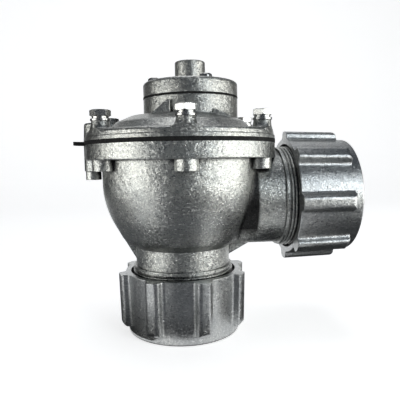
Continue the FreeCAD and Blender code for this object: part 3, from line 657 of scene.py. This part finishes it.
spring_wire = plated_steel("spring wire", light=(0.55, 0.55, 0.55, 1.0), dark=(0.42, 0.42, 0.43, 1.0),
                           low_gloss=0.22, high_gloss=0.4)
main_wire = wound_spring(
    low=0.11495, high=0.12785, low_radius=0.0130, high_radius=0.0190, wire_radius=0.00075, turns=4.5)
main_coil = fit_piece(main_wire, "main_coil", "valve", ["main_spring"], spring_wire)
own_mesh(main_coil)
pilot_wire = wound_spring(
    low=0.14265, high=0.15085, low_radius=0.0056, high_radius=0.0056, wire_radius=0.0005, turns=5.5,
    axis_x=pilot_axis)
pilot_coil = fit_piece(pilot_wire, "pilot_coil", "valve", ["pilot_spring"], spring_wire)
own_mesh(pilot_coil)


# The compression nuts are cast too, with a smoother skin. Eight ribs give a wrench its grip, and the
# 2 mm thread inside runs on the necks.
def wider_ribs(bm, first_rib, turn):
    """Gives the ribs of a nut that stands on the outlet's axis their full width, and turns the nut."""
    pitch = 360.0 / rib_count
    for vert in bm.verts:
        radius = math.hypot(vert.co.x, vert.co.y)
        angle = math.degrees(math.atan2(vert.co.y, vert.co.x))
        away = (angle - first_rib + pitch / 2) % pitch - pitch / 2
        if radius > nut_wall_inside:
            angle += away * rib_widening * min(1.0, max(0.0, (widening_end - abs(away)) / widening_fade))
        angle = math.radians(angle + turn)
        vert.co.x = radius * math.cos(angle)
        vert.co.y = radius * math.sin(angle)
    return bm


nut_metal = cast_aluminium(
    "nut casting", light=(0.60, 0.605, 0.59, 1.0), dark=(0.44, 0.455, 0.46, 1.0),
    struck=(0.70, 0.71, 0.71, 1.0), low_gloss=0.26, high_gloss=0.38, relief=0.00004, facet_tilt=0.10)
rib_count = 8
rib_widening = 0.27
widening_end = 20.0
widening_fade = 12.0
outlet_first_rib = 14.5
inlet_nut_turn = -1.8
nut_wall_inside = 0.0327
nut_thread = {"low": 0.0046, "high": 0.0332, "pitch": thread_pitch, "root": 0.0308, "crest": 0.0320,
              "foot_half": 0.00012, "crest_half": 0.0009}
outlet_nut = wider_ribs(copy_of("outlet_nut"), outlet_first_rib, 0.0)
fit_piece(carve(outlet_nut, [thread_tap(**nut_thread)]), "outlet_nut_casting", "outlet_nut", ["outlet_nut"],
          nut_metal)
inlet_nut = copy_of("inlet_nut")
bmesh.ops.transform(inlet_nut, matrix=inlet_place(inlet_nut_face).inverted(), verts=inlet_nut.verts[:])
inlet_nut = lay_at_inlet(wider_ribs(inlet_nut, 0.0, inlet_nut_turn), inlet_nut_face)
fit_piece(carve(inlet_nut, [lay_at_inlet(thread_tap(**nut_thread), inlet_nut_face)]), "inlet_nut_casting",
          "inlet_nut", ["inlet_nut"], nut_metal)

# The valve stands on a sweep of white paper that bends up behind it. The paper glows a little, so that
# it stays white under the plain soft lamps.
floor_half = 1.6
bm = bmesh.new()
profile = [bm.verts.new((-floor_half, y, z)) for y, z in (
    (-floor_half, 0.0), (0.7, 0.0), (0.85, 0.02), (0.97, 0.08), (1.05, 0.2), (1.08, 0.35), (1.08, 1.8))]
edges = [bm.edges.new(pair) for pair in zip(profile, profile[1:])]
grown = bmesh.ops.extrude_edge_only(bm, edges=edges)
bmesh.ops.translate(bm, vec=(2 * floor_half, 0.0, 0.0),
                    verts=[part for part in grown["geom"] if isinstance(part, bmesh.types.BMVert)])
for face in bm.faces:
    face.smooth = True
bmesh.ops.recalc_face_normals(bm, faces=bm.faces[:])
backdrop_mesh = bpy.data.meshes.new("backdrop")
bm.to_mesh(backdrop_mesh)
bm.free()
backdrop = bpy.data.objects.new("backdrop", backdrop_mesh)
scene.collection.objects.link(backdrop)
paper_glow = 0.68
paper, tree, shader = start_material("white paper", {
    "Base Color": (0.86, 0.86, 0.86, 1.0), "Roughness": 0.9, "Specular IOR Level": 0.1,
    "Emission Color": (1.0, 1.0, 1.0, 1.0)})
rays = join(tree, "ShaderNodeLightPath", {})
seen = work_out(tree, "MAXIMUM", rays.outputs["Is Camera Ray"], rays.outputs["Is Glossy Ray"])
seen = work_out(tree, "MAXIMUM", seen, rays.outputs["Is Transmission Ray"])
tree.links.new(work_out(tree, "MULTIPLY", seen, paper_glow), shader.inputs["Emission Strength"])
backdrop.data.materials.append(paper)


# Cards that show only in reflections: two black ones stand behind the valve at its sides, and grey and
# dark ones lie on the paper round its foot. They paint dark reflections into the castings' edges and
# undersides.
def card_paper(name, shade):
    settings = {"Base Color": (shade, shade, shade * 1.05, 1.0), "Roughness": 0.9}
    return start_material(name, settings)[0]


def card(name, corners, material):
    bm = bmesh.new()
    bm.faces.new([bm.verts.new(corner) for corner in corners])
    mesh = bpy.data.meshes.new(name)
    bm.to_mesh(mesh)
    bm.free()
    mesh.materials.append(material)
    held = bpy.data.objects.new(name, mesh)
    scene.collection.objects.link(held)
    held.visible_camera = False
    held.visible_shadow = False
    held.visible_diffuse = False


def standing_card(name, left, right, material):
    low, high = -0.02, 0.5
    card(name, [(*left, low), (*right, low), (*right, high), (*left, high)], material)


def lying_card(name, corners, material, height=0.002):
    card(name, [(x, y, height) for x, y in corners], material)


# Painted reflections: none of these cards is a table; only the metal sees them.
black = card_paper("black card", 0.03)
dark_reflection = card_paper("dark reflection card", 0.13)
middle_grey = card_paper("middle grey card", 0.26)
pale_grey = card_paper("pale grey card", 0.45)
shaded = card_paper("shaded reflection card", 0.09)
grey = card_paper("grey card", 0.30)
standing_card("left_card", (-0.50, 0.15), (-0.24, 0.44), black)
standing_card("right_card", (0.56, 0.20), (0.34, 0.46), black)
lying_card("toe_card", [(-0.03, -0.04), (-0.0465, -0.062), (0.041, -0.062), (0.03, -0.04)], shaded)
lying_card("near_card", [(-0.0465, -0.062), (-0.075, -0.10), (0.06, -0.10), (0.041, -0.062)], pale_grey)
lying_card("middle_card", [(-0.075, -0.10), (-0.12, -0.18), (0.11, -0.18), (0.06, -0.10)], middle_grey)
lying_card("far_reflection_card", [(-0.12, -0.18), (-0.60, -0.95), (0.75, -0.95), (0.75, -0.40), (0.11, -0.13),
                          (0.11, -0.18)], dark_reflection)
lying_card("foot_card", [(0.045, -0.045), (0.08, -0.045), (0.11, -0.13), (0.20, -0.15), (0.20, 0.08),
                         (0.045, 0.08)], shaded)
lying_card("left_foot_card", [(-0.02, -0.06), (-0.02, 0.08), (-0.075, 0.08), (-0.075, -0.06)], shaded)
lying_card("side_card", [(-0.9, 0.5), (-0.9, -0.22), (-0.04, -0.03), (-0.04, 0.2)], grey, height=0.001)


# Long soft lamps stand low at the left and the right, two smaller ones in front at the right, and one
# hangs overhead.
def lamp(name, place, aim, width, height, watts, colour):
    light = bpy.data.lights.new(name, "AREA")
    light.shape = "RECTANGLE"
    light.size = width
    light.size_y = height
    light.energy = watts
    light.color = colour
    holder = bpy.data.objects.new(name, light)
    scene.collection.objects.link(holder)
    turn = (Vector(aim) - Vector(place)).to_track_quat("-Z", "Y").to_matrix().to_4x4()
    holder.matrix_world = Matrix.Translation(place) @ turn
    holder.visible_camera = False


warm = (1.0, 0.995, 0.95)
cool = (0.90, 0.96, 1.0)
daylight = (0.97, 0.98, 1.0)
lamp("left softbox", place=(-0.84, -0.28, 0.135), aim=(0.02, 0.0, 0.12), width=0.80, height=0.23, watts=2.7,
     colour=warm)
lamp("right softbox", place=(0.88, -0.28, 0.15), aim=(0.02, 0.0, 0.12), width=0.80, height=0.26, watts=3.0,
     colour=warm)
lamp("front softbox", place=(0.485, -0.718, 0.41), aim=(0.05, 0.0, 0.09), width=0.30, height=0.36, watts=1.42,
     colour=cool)
lamp("right front softbox", place=(0.56, -0.58, 0.12), aim=(0.02, 0.0, 0.11), width=0.34, height=0.20,
     watts=0.97, colour=warm)
lamp("top softbox", place=(0.0, 0.10, 1.05), aim=(0.02, 0.0, 0.09), width=0.6, height=0.5, watts=2.4,
     colour=daylight)
world = bpy.data.worlds.new("room")
scene.world = world
world.use_nodes = True
world.node_tree.nodes["Background"].inputs["Color"].default_value = (0.07, 0.08, 0.095, 1.0)
world.node_tree.nodes["Background"].inputs["Strength"].default_value = 1.0
scene.view_settings.view_transform = "Standard"
